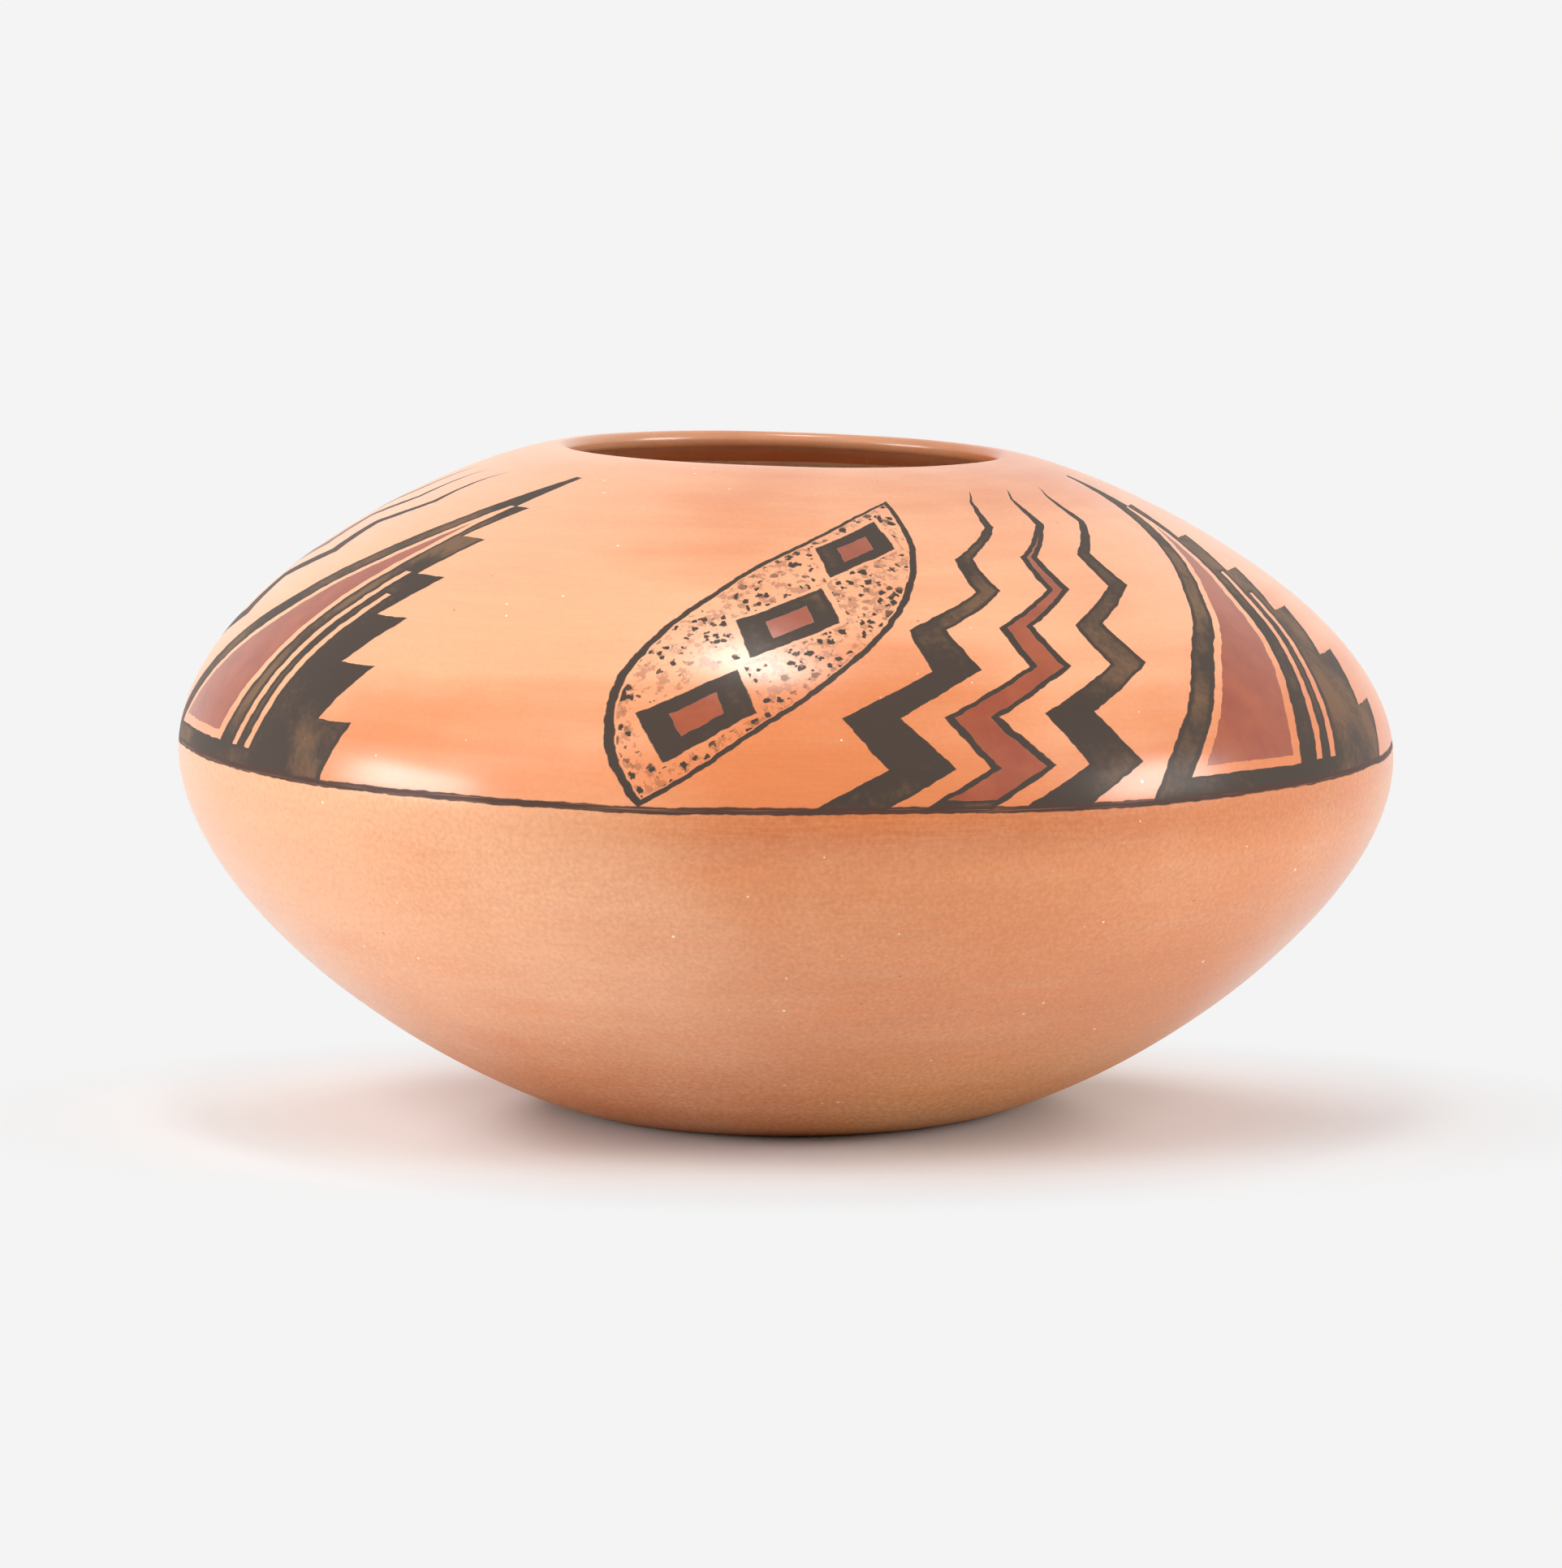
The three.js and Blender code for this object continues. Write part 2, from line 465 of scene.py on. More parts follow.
lip_points = []
for i in range(1, LIP_STEPS):
    angle = math.radians(90) - LIP_SLOPE + math.pi * i / LIP_STEPS
    lip_points.append(lip_middle + Vector((math.cos(angle), math.sin(angle))) * LIP / 2)
flat = [(FOOT * share, 0) for share in (0, 0.5, 0.9)]
section = flat + list(zip(outside, along))
section += [(point, WALL_LENGTH) for point in lip_points]
section += list(zip(reversed(inside), reversed(along)))
section += [(Vector((inside[0].x * share, inside[0].y)), 0) for share in (0.66, 0.33, 0)]

shape = bmesh.new()
wall_layer = shape.verts.layers.float.new("along_wall")
section_layer = shape.verts.layers.float.new("along_section")
travelled = -FOOT.x
previous = None
for point, way in section:
    vertex = shape.verts.new((0, point.x, point.y))
    vertex[wall_layer] = way
    if previous is not None:
        travelled += (vertex.co - previous.co).length
        shape.edges.new((previous, vertex))
    vertex[section_layer] = travelled
    previous = vertex
SECTION_END = travelled
print(len(section), "points, to", round(SECTION_END / MM, 1), "mm past the foot's edge")

# %% Turn it
bmesh.ops.spin(
    shape,
    geom=shape.verts[:] + shape.edges[:],
    cent=(0, 0, 0),
    axis=(0, 0, 1),
    angle=math.tau,
    steps=AROUND,
    use_merge=True,
)
bmesh.ops.remove_doubles(shape, verts=shape.verts[:], dist=1e-6)
bmesh.ops.recalc_face_normals(shape, faces=shape.faces[:])
print(len(shape.faces), "faces,", "open edges:", sum(edge.is_boundary for edge in shape.edges))

# %% [markdown]
# ## A map of the wall
# The painter thinks in turns of the jar and in heights up the wall, so the UV map holds
# those two: across, the turn from the back round the front to the back again, and up, the
# way along the section. A face that touches the back must not mix turn 0 with turn 1, so
# each corner is read next to the middle of its own face.

# %% Lay the map on the wall
def turn_of(place):
    """Part of a whole turn, from 0 at the back over 0.5 at the front to 1."""
    return math.atan2(place.x, -place.y) / math.tau + 0.5


wall_map = shape.loops.layers.uv.new("wall_map")
for face in shape.faces:
    middle = turn_of(face.calc_center_median())
    for loop in face.loops:
        centred = math.hypot(loop.vert.co.x, loop.vert.co.y) < 1e-5
        turn = middle if centred else turn_of(loop.vert.co)
        turn += round(middle - turn)
        loop[wall_map].uv = (turn, loop.vert[section_layer] / SECTION_END)
print("map height of the lip:", round(WALL_LENGTH / SECTION_END, 3))

# %% [markdown]
# ## What the hand left
# No wheel was used, so the form is not quite true: the rim dips to the right by a degree and
# a half, and the jar leans a little to the left. The CAD solids lean by the same rule. On top
# comes an unevenness of a few tenths of a millimetre, cut inwards only, so that the skin never
# stands outside the solids. It makes the shine wander as it does on a hand-polished wall.

# %% Lean and unevenness
RIM_TILT = math.radians(1.5)
TILT_GROWTH = 1.7
LEAN = 1.5 * MM
UNEVEN = 0.35 * MM
EVEN_FOOT = 30 * MM
BROAD_DENTS = 19
FINE_DENTS = 55
FINE_OFFSET = Vector((7, 3, 1))

shape.normal_update()
for vertex in shape.verts:
    free = ease(vertex[section_layer], 0, EVEN_FOOT)
    dent = 0.5 + 0.5 * noise.noise(vertex.co * BROAD_DENTS)
    dent += 0.25 * noise.noise(vertex.co * FINE_DENTS + FINE_OFFSET)
    vertex.co -= vertex.normal * UNEVEN * free * min(max(dent, 0), 1)
for vertex in shape.verts:
    dip = math.tan(RIM_TILT) * (vertex[wall_layer] / WALL_LENGTH) ** TILT_GROWTH
    vertex.co.z -= vertex.co.x * dip
    vertex.co.x += LEAN * (0.5 - vertex.co.z / JAR_HEIGHT)
print("height now:", round(max(vertex.co.z for vertex in shape.verts) / MM, 2), "mm")

# %% [markdown]
# ## The clay itself
# The same fired clay shows everywhere, polished, scraped or worn, so it is one node group
# that reads the place and the way along the wall, and takes two colours to mix, how warm the
# mix is, and how sandy. It gives a colour with soft fire clouds, darker and lighter bands from
# the turning hand, fine streaks from the polishing stone, sandy grain and a few light and dark
# specks, and a height for the bump. Light grains are also paler and dark ones redder, as in
# fired clay. To keep streaks level all round, they are read at the direction from the axis,
# which has no seam, and not at the map.

# %% A helper for node groups
def new_group(name, inputs, outputs):
    """An empty node group, the sockets that its inputs come from, and the outputs to fill."""
    group = bpy.data.node_groups.new(name, "ShaderNodeTree")
    for label, kind in inputs.items():
        group.interface.new_socket(label, in_out="INPUT", socket_type=kind)
    for label, kind in outputs.items():
        group.interface.new_socket(label, in_out="OUTPUT", socket_type=kind)
    entry = group.nodes.new("NodeGroupInput")
    leave = group.nodes.new("NodeGroupOutput")
    return group, entry.outputs, leave.inputs


def use_group(tree, group, **values):
    """Places a group in a material. Underscores in a name stand for its spaces."""
    node = tree.nodes.new("ShaderNodeGroup")
    node.node_tree = group
    for label, value in values.items():
        connect(tree, value, node.inputs[label.replace("_", " ")])
    return node.outputs


print("groups so far:", len(bpy.data.node_groups))

# %% Build the clay group
HAND_BAND = 11.0  # heights on the wall in mm, of the bands, the wipe marks and the streaks
WIPE_MARK = 4.5
STONE_STREAK = 0.75
FIRE_CLOUDS = 15.0  # scales of the noise, per metre
GRAIN = 1000.0

clay_group, given, result = new_group(
    "fired_clay_body",
    {"Place": "NodeSocketVector", "Up the wall": "NodeSocketFloat", "Pale": "NodeSocketColor",
     "Warm": "NodeSocketColor", "Warmth": "NodeSocketFloat", "Sand": "NodeSocketFloat"},
    {"Colour": "NodeSocketColor", "Streak": "NodeSocketFloat", "Height": "NodeSocketFloat"},
)
tree = clay_group
place = given["Place"]
up = Reading(tree, given["Up the wall"])
east, north = facing(tree, place)
hand_place = join(tree, east * 1.1, north * 1.1, up / HAND_BAND)
wipe_place = join(tree, east * 3.2, north * 3.2, up / WIPE_MARK)
stone_place = join(tree, east * 15, north * 15, up / STONE_STREAK)
hand_bands = noise_at(tree, hand_place, 1.0, 2.0)
wipe_marks = noise_at(tree, wipe_place, 1.0, 3.0, 0.6)
stone_streaks = noise_at(tree, stone_place, 1.0, 3.0, 0.6)
fire_clouds = noise_at(tree, place, FIRE_CLOUDS, 3.0, 0.5)
grain = noise_at(tree, place, GRAIN, 2.0, 0.6)
print("clay readings made:", len(tree.nodes), "nodes")

# %% Mix the clay colour
CLOUD_LEVEL = 1.27
SAND_PALENESS = 2.8
SAND_HEIGHT = 0.2

clouds = fire_clouds * 1.5 + hand_bands * 0.7 + wipe_marks * 0.35 - CLOUD_LEVEL
sandy = (grain - 0.5) * Reading(tree, given["Sand"])
warmth = (clouds + Reading(tree, given["Warmth"])).smooth(0.0, 1.0) - sandy * SAND_PALENESS
colour = mix_colours(tree, warmth, given["Pale"], given["Warm"])
tone = (wipe_marks - 0.5) * 0.15 + (stone_streaks - 0.5) * 0.13 + 1.0 + sandy
colour = vector_maths(tree, "MULTIPLY", colour, join(tree, tone, tone, tone))
relief = (stone_streaks - 0.5) * 0.010 + (hand_bands - 0.5) * 0.10 + sandy * SAND_HEIGHT
print("clay mixed:", len(tree.nodes), "nodes")

# %% Scatter the specks
SPECK_CELLS = 250.0
LIGHT_CHANCE = 0.16
DARK_CHANCE = 0.06
LIGHT_SPECK = from_screen(252, 232, 210)
DARK_SPECK = from_screen(128, 80, 54)

cells = tree.nodes.new("ShaderNodeTexVoronoi")
cells.inputs["Scale"].default_value = SPECK_CELLS
connect(tree, place, cells.inputs["Vector"])
chance, kind, _ = split(tree, cells.outputs["Color"])
dot = ((kind * 0.06 + 0.05 - Reading(tree, cells.outputs["Distance"])) / 0.03).clamped()
light_speck = dot * chance.maths("GREATER_THAN", 1.0 - LIGHT_CHANCE)
dark_speck = dot * chance.maths("LESS_THAN", DARK_CHANCE)
colour = mix_colours(tree, light_speck * 0.85, colour, LIGHT_SPECK)
colour = mix_colours(tree, dark_speck * 0.5, colour, DARK_SPECK)
connect(tree, colour, result["Colour"])
connect(tree, stone_streaks, result["Streak"])
connect(tree, relief, result["Height"])
print("clay group:", len(clay_group.nodes), "nodes")

# %% [markdown]
# ## The painted band
# A line is drawn round the belly with one loaded brush, and above it runs a band of figures
# that leans with the turn of the jar: a terraced blade with a red panel, a leaf of stippled
# ground with a chain of diamonds, and three bolts. It repeats three times. Each figure is a
# test on two numbers, the turn in degrees and the height above the line in millimetres, and
# the amount by which a point is inside an edge is kept, so that edges come out soft and clean.

# %% Helpers for brushed figures
LINE_ALONG = BELLY_ALONG + 3.6 * MM
REPEAT = 120.0
REPEAT_STARTS = -24.0
SWIRL = 34.0
SOFT_EDGE = 0.10


def painted(depth, soft=SOFT_EDGE):
    """1 inside a figure and 0 outside, with a narrow soft edge, from the depth inside it."""
    return (depth / soft + 0.5).clamped()


def inside_all(*depths):
    """How deep a point lies inside several edges at once: the least of their depths."""
    deepest = depths[0]
    for depth in depths[1:]:
        deepest = deepest.least(depth)
    return deepest


band_group, given, result = new_group(
    "painted_band",
    {"Turn": "NodeSocketFloat", "Above the line": "NodeSocketFloat"},
    {"Black": "NodeSocketFloat", "Line": "NodeSocketFloat", "Red": "NodeSocketFloat",
     "Ground": "NodeSocketFloat", "Fill": "NodeSocketFloat"},
)
tree = band_group
high = Reading(tree, given["Above the line"])
risen = high.most(0.0)
lean = (risen / 100.0) ** 1.2 * SWIRL
swirled = Reading(tree, given["Turn"]) - lean
across = swirled.maths("WRAP", REPEAT_STARTS + REPEAT, REPEAT_STARTS)
print("one repeat covers", REPEAT, "degrees")

# %% The leaf and its chain of diamonds
LEAF_HALF_WIDTH = 12.2
LEAF_MIDDLE = 47.5
LEAF_HALF_HEIGHT = 47.0
LEAF_BORDER = 0.9
LINK = 13.0
DIAMOND_HALF_WIDTH = 5.6
DIAMOND_HALF_HEIGHT = 11.2
DIAMOND_DEPTH = 4.0
CHAIN_FROM = 8.0
CHAIN_TO = 87.0

from_rib = abs(across)
half_width = (1.0 - ((high - LEAF_MIDDLE) / LEAF_HALF_HEIGHT) ** 2) * LEAF_HALF_WIDTH
leaf = half_width - from_rib
leaf_inner = leaf - LEAF_BORDER
link = (high - LEAF_MIDDLE).maths("PINGPONG", LINK)
reach = from_rib / DIAMOND_HALF_WIDTH + link / DIAMOND_HALF_HEIGHT
whole = (1.0 - reach) * DIAMOND_DEPTH
diamond = inside_all(whole, leaf_inner, high - CHAIN_FROM, CHAIN_TO - high)
core = inside_all((0.45 - reach) * DIAMOND_DEPTH, diamond)
leaf_black = leaf.least(leaf_inner * -1.0).most(diamond.least(core * -1.0))
off_the_chain = (CHAIN_FROM - high).most(high - CHAIN_TO)
beside_chain = ((reach - 1.15) * DIAMOND_DEPTH).most(off_the_chain)
ground = inside_all(leaf_inner - 0.2, beside_chain)
print("diamonds stand", 2 * LINK, "mm apart")

# %% The three bolts
BOLTS = ((20.5, False), (30.0, True), (39.5, False))  # where each starts, and if it has red
BOLT_TOP = 98.0
ZIGZAG = 12.0
BOLT_HALF_WIDTH = 3.3
BOLT_BORDER = 1.0

taper = (1.0 - risen / BOLT_TOP).most(0.0)
zigzag = ((high + 3.0).maths("PINGPONG", ZIGZAG) - ZIGZAG / 2) * 0.6 * taper ** 0.5
bolt_half = taper ** 0.8 * BOLT_HALF_WIDTH
bolts_black = None
bolt_red = None
for start, has_red in BOLTS:
    middle = zigzag - (1.0 - taper) * 3.0 + start
    bolt = inside_all(bolt_half - abs(across - middle), high, BOLT_TOP - high)
    if has_red:
        bolt_red = inside_all(bolt - BOLT_BORDER, high - 2.0)
        bolt = bolt.least(bolt_red * -1.0)
    bolts_black = bolt if bolts_black is None else bolts_black.most(bolt)
print("bolts:", len(BOLTS))

# %% The terraced blade
BLADE_LEFT = 48.0
BLADE_RIGHT = 87.0
BLADE_TOP = 100.0
STEP_RISE = 14.0
STEP_RUN = 4.9
STEPS_END = 84.0
PANEL_FROM = 4.5
PANEL_BORDER = 1.2

left_edge = risen * 0.08 + BLADE_LEFT
storey = (risen / STEP_RISE).maths("FLOOR")
stepped = BLADE_RIGHT - storey * STEP_RUN
point_edge = (BLADE_TOP - risen) * 0.125 + 57.6
is_point = risen.maths("GREATER_THAN", STEPS_END)
right_edge = stepped + (point_edge - stepped) * is_point
blade = inside_all(across - left_edge, right_edge - across, high, BLADE_TOP - high)
from_left = across - (left_edge + 3.6)
panel_right = 68.0 - risen * 0.105
from_right = panel_right - across
panel = inside_all(from_left, from_right, high - PANEL_FROM, STEPS_END - high)
panel_red = inside_all(
    from_left - PANEL_BORDER, from_right - PANEL_BORDER, (high - 6.6) / 2, (76.0 - high) / 2
)
bare_lines = None
for offset in (3.3, 5.9):
    beside = 0.5 - abs(across - panel_right - offset)
    line = inside_all(beside, high - PANEL_FROM, 66.0 - 3 * offset - high)
    bare_lines = line if bare_lines is None else bare_lines.most(line)
blade_black = inside_all(blade, panel * -1.0, bare_lines * -1.0)
print("steps in the blade:", int(STEPS_END / STEP_RISE))

# %% Put the band together
LINE_HALF_WIDTH = 0.78
LINE_EDGE = 0.25

black = blade_black.most(leaf_black).most(bolts_black)
connect(tree, painted(black), result["Black"])
connect(tree, painted(LINE_HALF_WIDTH - abs(high), LINE_EDGE), result["Line"])
connect(tree, painted(panel_red.most(core).most(bolt_red)), result["Red"])
connect(tree, painted(ground), result["Ground"])
connect(tree, black.smooth(0.35, 1.0), result["Fill"])
print("band group:", len(band_group.nodes), "nodes")

# %% [markdown]
# ## The outside: polished clay, slip and paint
# The painter's colours are a red clay slip and a black of boiled plant juice and iron, laid
# on before firing. The slip is polished and shines almost as the clay does. The black stays
# matt, sinks in, and turns brown where the brush ran dry. So the paint changes the colour and
# the roughness, but hardly the height. A small noise on the two numbers of the band makes
# the edges waver as a chewed yucca brush does.

# %% Read the map and let the brush waver
FRONT_TURN = 13.6
SLOW_WAVER = 28.0
QUICK_WAVER = 330.0


def brush_readings(tree):
    """The place, the way along the wall in mm, and the wavering turn and height of the band."""
    place = tree.nodes.new("ShaderNodeTexCoord").outputs["Object"]
    uv = tree.nodes.new("ShaderNodeUVMap")
    uv.uv_map = "wall_map"
    turn, way, _ = split(tree, uv.outputs["UV"])
    up = way * (SECTION_END / MM)
    slow = noise_at(tree, place, SLOW_WAVER, 1.0)
    quick = noise_at(tree, place, QUICK_WAVER, 2.0)
    slow_too = noise_at(tree, vector_maths(tree, "ADD", place, (3, 1, 2)), SLOW_WAVER, 1.0)
    quick_too = noise_at(tree, vector_maths(tree, "ADD", place, (5, 7, 1)), QUICK_WAVER, 2.0)
    degrees = turn * 360.0 - 180.0 + FRONT_TURN
    degrees = degrees + (slow - 0.5) * 2.6 + (quick - 0.5) * 0.6
    above_line = up - LINE_ALONG / MM + (slow_too - 0.5) * 2.4 + (quick_too - 0.5) * 0.7
    return place, up, degrees, above_line


print("the line lies", round(LINE_ALONG / MM, 1), "mm along the wall")

# %% Build the outside material
LIP_UP = WALL_LENGTH / MM
BURNISH_ENDS = LIP_UP + 22

outside_material = bpy.data.materials.new("burnished_painted_clay")
outside_material.use_nodes = True
tree = outside_material.node_tree
tree.nodes.clear()
place, up, degrees, above_line = brush_readings(tree)
east, north = facing(tree, place)
# 0 at the foot and 1 from 90 mm up: it sets the foot's sand and weaker polish, and the painted
#                                    shade that darkens the foot
foot_wear_and_shade = up.smooth(8.0, 90.0)
low_body = above_line.smooth(-1.0, 1.0, 1.0, 0.0)
print("outside material starts with", len(tree.nodes), "nodes")

# %% [markdown]
# The fire and the hand left the clay uneven, and each cause is one mask. Flame and smoke made
# it warm just above the line and near the lip. The left side is made paler above the low body,
# which is painted light, as that side is the more strongly lit. A warmth near 0 gives the pale
# clay, and one near 1 the warm clay. The foot was polished least, so it keeps the most sand,
# and above the line the stone pressed nearly all of it in.

# %% Colour the clay of the outside
PALE_ABOVE = from_screen(236, 168, 125)  # above the painted line, and below it
PALE_BELOW = from_screen(229, 166, 124)
WARM_ABOVE = from_screen(208, 119, 66)
WARM_BELOW = from_screen(217, 135, 82)
PALE_ANYWHERE = 0.12
SAND_AT_FOOT = 0.46
SAND_HIGHER = 0.25

near_line = above_line.smooth(-1.0, 1.0) * above_line.smooth(0.0, 55.0, 0.75, 0.0)
near_lip = up.smooth(LIP_UP - 45.0, LIP_UP - 5.0, 0.0, 0.35)
# painted light: the left side is made paler above the low body, over a little paleness that lies
# all over
paleness_and_painted_light_left = (east.smooth(-0.75, 0.10, 1.0, 0.0) - PALE_ANYWHERE) * up.smooth(45.0, 100.0)
paleness_and_painted_light_left = paleness_and_painted_light_left + PALE_ANYWHERE
pale = mix_colours(tree, low_body, PALE_ABOVE, PALE_BELOW)
warm = mix_colours(tree, low_body, WARM_ABOVE, WARM_BELOW)
warmth = near_line.most(low_body * 0.55) + near_lip + 0.18 - paleness_and_painted_light_left * (low_body * 0.45 + 0.4)
sand = foot_wear_and_shade.smooth(0.0, 1.0, SAND_AT_FOOT, SAND_HIGHER) * (low_body * 0.75 + 0.25)
clay = use_group(
    tree, clay_group, Place=place, Up_the_wall=up, Pale=pale, Warm=warm, Warmth=warmth, Sand=sand
)
band = use_group(tree, band_group, Turn=degrees, Above_the_line=above_line)
streak = Reading(tree, clay["Streak"])
print("clay and band placed:", len(tree.nodes), "nodes")

# %% [markdown]
# Four more masks shade the clay. Painted shade darkens the crest of the lip and its inner side,
# where it turns down into the mouth. A paler band of painted light lies along the low body,
# fainter on the right. Under the painted line lies a strip of deeper orange, faintest on the
# left, and painted light makes the right half of the foot paler. The last two change green and
# blue more than red, so each of the three gets a tone of its own. The clay is also darkened
# towards the foot, which is painted shade.

# %% Shade the clay
UNDER_LINE_TAKES = (0.22, 0.38, 0.55)
RIGHT_FOOT_LIGHT_GIVES = (0.07, 0.25, 0.25)

# painted shade: the crest of the lip and its inner side are darkened where the lip turns into the
# mouth
painted_shade_inner_lip = up.smooth(LIP_UP - 1.0, LIP_UP + 2.0) * up.smooth(LIP_UP + 3.0, LIP_UP + 8.0, 1.0, 0.0)
# painted light: a paler band along the low body, fainter on the right
painted_light_low_body = up.smooth(45.0, 80.0) * up.smooth(95.0, 118.0, 1.0, 0.0)
painted_light_low_body = painted_light_low_body * east.smooth(0.1, 0.6, 0.06, 0.01)
# painted shade: the clay is darkened by up to 14 percent towards the foot
tone = foot_wear_and_shade.smooth(0.0, 1.0, 0.86, 1.0) - painted_shade_inner_lip * 0.3 + painted_light_low_body
under_line = above_line.smooth(-16.0, -3.5) * low_body
under_line = under_line * east.smooth(-0.65, 0.0) * east.smooth(0.25, 0.95, 1.0, 0.4)
under_line = under_line * streak.smooth(0.25, 0.65, 0.75, 1.15)
# painted light: the right half of the foot is made paler
painted_light_right_foot = up.smooth(38.0, 75.0, 1.0, 0.0) * east.smooth(-0.1, 0.35)
tones = [
    tone - under_line * taken + painted_light_right_foot * light_given
    for taken, light_given in zip(UNDER_LINE_TAKES, RIGHT_FOOT_LIGHT_GIVES)
]
clay_colour = vector_maths(tree, "MULTIPLY", clay["Colour"], join(tree, *tones))
print("clay shaded:", len(tree.nodes), "nodes")

# %% Lay on the red slip
DARK_SLIP = from_screen(139, 56, 24)
LIGHT_SLIP = from_screen(155, 72, 34)

red = Reading(tree, band["Red"])
slip_cloud = noise_at(tree, place, 90.0, 3.0, 0.6).smooth(0.3, 0.7)
slip = mix_colours(tree, slip_cloud, DARK_SLIP, LIGHT_SLIP)
colour = mix_colours(tree, red, clay_colour, slip)
print("red slip laid on")

# %% [markdown]
# The ground of the leaf is stippled: the tip of the brush is dabbed on, now full and now
# nearly dry. Cells give one dab each, and a fine noise moves the place at which they are
# read, so that the dabs come out ragged. Smears of thin brown lie under them.

# %% Dab on the stippled ground
DAB_CELLS = 450.0
DAB_WANDER = 2.2 * MM
SMEAR = from_screen(122, 68, 40)

wander = tree.nodes.new("ShaderNodeTexNoise")
wander.inputs["Scale"].default_value = 700.0
connect(tree, place, wander.inputs["Vector"])
moved = vector_maths(tree, "MULTIPLY", wander.outputs["Color"], (DAB_WANDER,) * 3)
dab_place = vector_maths(tree, "ADD", place, moved)
dabs = tree.nodes.new("ShaderNodeTexVoronoi")
dabs.inputs["Scale"].default_value = DAB_CELLS
connect(tree, dab_place, dabs.inputs["Vector"])
crowding = noise_at(tree, place, 150.0, 2.0)
dab = (crowding * 0.8 - 0.01 - Reading(tree, dabs.outputs["Distance"])) / 0.10
dab_strength, _, _ = split(tree, dabs.outputs["Color"])
dab = dab.clamped() * dab_strength.smooth(0.0, 0.5, 0.35, 1.0)
smear = noise_at(tree, dab_place, 380.0, 3.0, 0.6).smooth(0.50, 0.60)
ground = Reading(tree, band["Ground"])
stipple = dab * ground
colour = mix_colours(tree, smear * ground * 0.5, colour, SMEAR)
print("stipple made")

# %% Brush on the black
DENSE_INK = from_screen(66, 55, 48)
THIN_INK = from_screen(98, 80, 61)
LINE_INK = from_screen(84, 48, 38)

hairs = noise_at(tree, join(tree, east * 7, north * 7, up / 0.22), 1.0, 3.0, 0.6)
line = Reading(tree, band["Line"]) * hairs.smooth(0.25, 0.50, 0.70, 1.0)
black = Reading(tree, band["Black"]).most(stipple).most(line)
strokes = noise_at(tree, place, 42.0, 2.0, 0.5)
worn = noise_at(tree, place, 600.0, 3.0, 0.6)
thin = (strokes + (worn - 0.5) * 0.25).smooth(0.44, 0.70) * Reading(tree, band["Fill"])
ink = mix_colours(tree, thin * 0.8, DENSE_INK, THIN_INK)
ink = mix_colours(tree, Reading(tree, band["Line"]) * 0.4, ink, LINE_INK)
colour = mix_colours(tree, black * (1.0 - thin * 0.08), colour, ink)
print("black brushed on")

# %% [markdown]
# Stone polish is a thin smooth skin on a duller body, so the shader gets two layers: a base
# that hardly shines, and a coat over it. The coat fades where the stone didn't reach, at the
# foot and inside the lip, and nearly goes where the matt black lies on it.

# %% Finish the outside shader
CLAY_ROUGH = 0.46
SLIP_ROUGH = 0.44
INK_ROUGH = 0.55
SCRAPED_ROUGH = 0.62
COAT_ROUGH = 0.24
COAT_IOR = 1.6
BASE_SHINE = 0.10

polish = up.smooth(LIP_UP + 8, BURNISH_ENDS, 1.0, 0.0)
rough = (streak - 0.5) * 0.12 + CLAY_ROUGH
rough = rough + (1.0 - foot_wear_and_shade) * 0.10
rough = rough + (SLIP_ROUGH - rough) * red + (INK_ROUGH - rough) * black
rough = rough + (SCRAPED_ROUGH - rough) * (1.0 - polish)
shine = polish * foot_wear_and_shade.smooth(0.0, 1.0, 0.1, 0.9) * (1.0 - black * 0.85)
height = Reading(tree, clay["Height"]) + black * 0.006 + red * 0.004
bump = tree.nodes.new("ShaderNodeBump")
bump.inputs["Strength"].default_value = 1.0
bump.inputs["Distance"].default_value = MM
connect(tree, height, bump.inputs["Height"])
shader = tree.nodes.new("ShaderNodeBsdfPrincipled")
shader.inputs["IOR"].default_value = 1.5
shader.inputs["Specular IOR Level"].default_value = BASE_SHINE
connect(tree, colour, shader.inputs["Base Color"])
connect(tree, rough, shader.inputs["Roughness"])
connect(tree, shine, shader.inputs["Coat Weight"])
shader.inputs["Coat Roughness"].default_value = COAT_ROUGH
shader.inputs["Coat IOR"].default_value = COAT_IOR
tree.links.new(bump.outputs["Normal"], shader.inputs["Normal"])
out = tree.nodes.new("ShaderNodeOutputMaterial")
tree.links.new(shader.outputs[0], out.inputs["Surface"])
print("outside material:", len(tree.nodes), "nodes")

# %% [markdown]
# ## The inside and the flat it stands on
# Only the outside is polished. The inside is scraped with a piece of gourd and left matt and
# pale, and the flat is rubbed pale by the shelf. Both are the same clay group with their own
# two colours and no coat, so they stay of a piece with the outside.

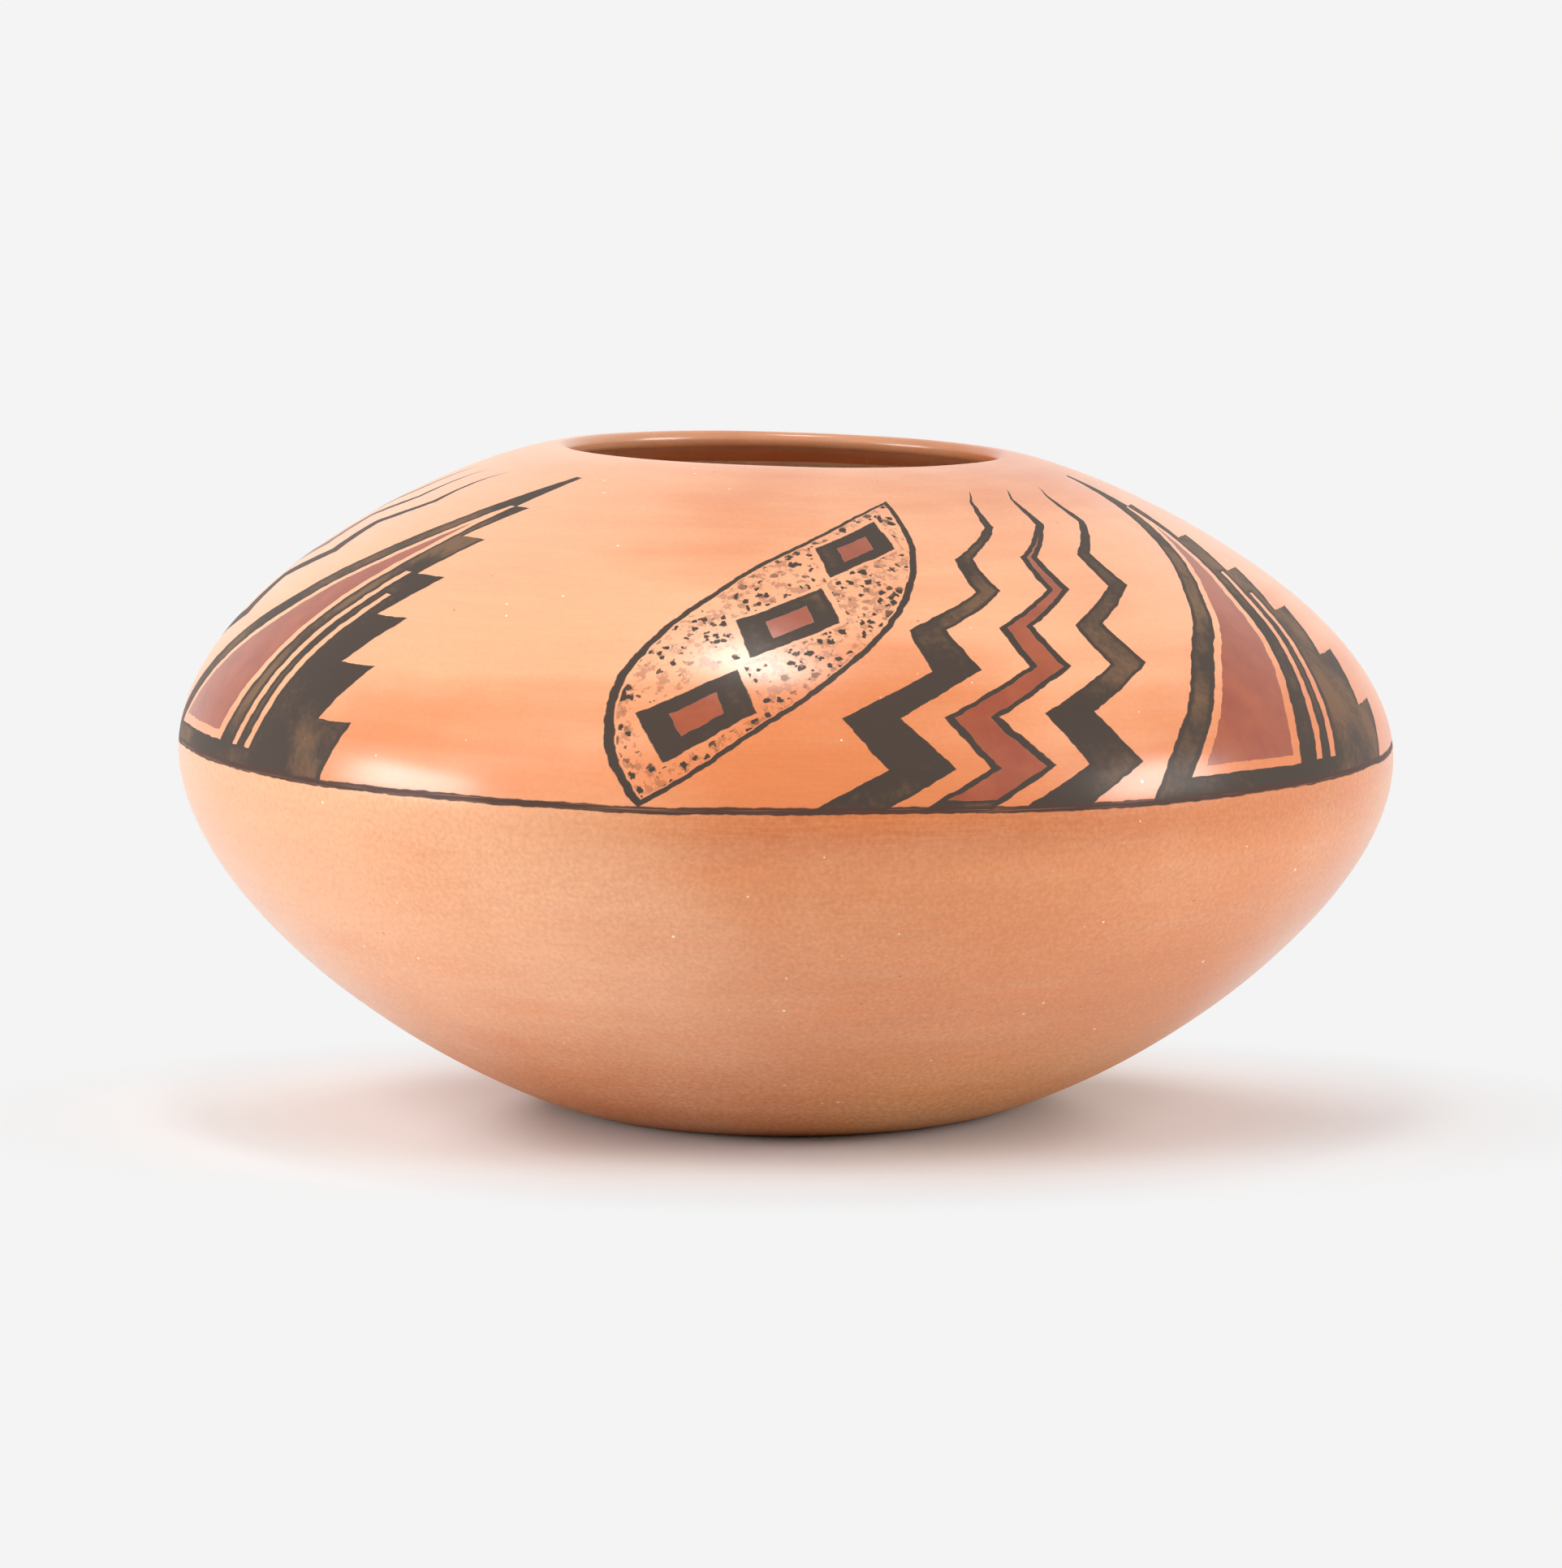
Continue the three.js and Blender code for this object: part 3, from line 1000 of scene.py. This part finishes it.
# %% Build the two plain clays
def plain_clay(name, pale, warm, sand, rough):
    """Unpolished clay: matt, sandy and unpainted."""
    material = bpy.data.materials.new(name)
    material.use_nodes = True
    tree = material.node_tree
    tree.nodes.clear()
    place, up, _, _ = brush_readings(tree)
    clay = use_group(
        tree, clay_group, Place=place, Up_the_wall=up, Pale=pale, Warm=warm, Warmth=0.4, Sand=sand
    )
    bump = tree.nodes.new("ShaderNodeBump")
    bump.inputs["Distance"].default_value = MM
    tree.links.new(clay["Height"], bump.inputs["Height"])
    shader = tree.nodes.new("ShaderNodeBsdfPrincipled")
    streak = Reading(tree, clay["Streak"])
    connect(tree, (streak - 0.5) * 0.16 + rough, shader.inputs["Roughness"])
    connect(tree, clay["Colour"], shader.inputs["Base Color"])
    tree.links.new(bump.outputs["Normal"], shader.inputs["Normal"])
    out = tree.nodes.new("ShaderNodeOutputMaterial")
    tree.links.new(shader.outputs[0], out.inputs["Surface"])
    return material


inside_material = plain_clay(
    "scraped_clay",
    pale=from_screen(250, 224, 202),
    warm=from_screen(244, 210, 182),
    sand=0.16,
    rough=SCRAPED_ROUGH,
)
flat_material = plain_clay(
    "worn_flat_clay",
    pale=from_screen(232, 180, 144),
    warm=from_screen(206, 142, 104),
    sand=0.20,
    rough=0.70,
)
print("plain clays:", inside_material.name, flat_material.name)

# %% [markdown]
# ## The skin joins the frame
# Each face gets its clay by where it lies along the section. The finished skin then rides on
# the jar's one body and replaces the ten courses, which stay underneath for the physics.

# %% Finish the skin
OUTSIDE, INSIDE, FLAT = 0, 1, 2
for face in shape.faces:
    face.smooth = True
    way = sum(vertex[section_layer] for vertex in face.verts) / len(face.verts)
    if way < 0:
        face.material_index = FLAT
    elif way > BURNISH_ENDS * MM:
        face.material_index = INSIDE
    else:
        face.material_index = OUTSIDE

skin_mesh = bpy.data.meshes.new("jar_skin")
shape.to_mesh(skin_mesh)
shape.free()
for material in (outside_material, inside_material, flat_material):
    skin_mesh.materials.append(material)
skin = bpy.data.objects.new("jar_skin", skin_mesh)
bpy.context.scene.collection.objects.link(skin)
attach(skin, "root")
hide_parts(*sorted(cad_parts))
print("skin:", len(skin_mesh.polygons), "faces")

# %% [markdown]
# ## The end
# The skin has to stay inside the CAD box.
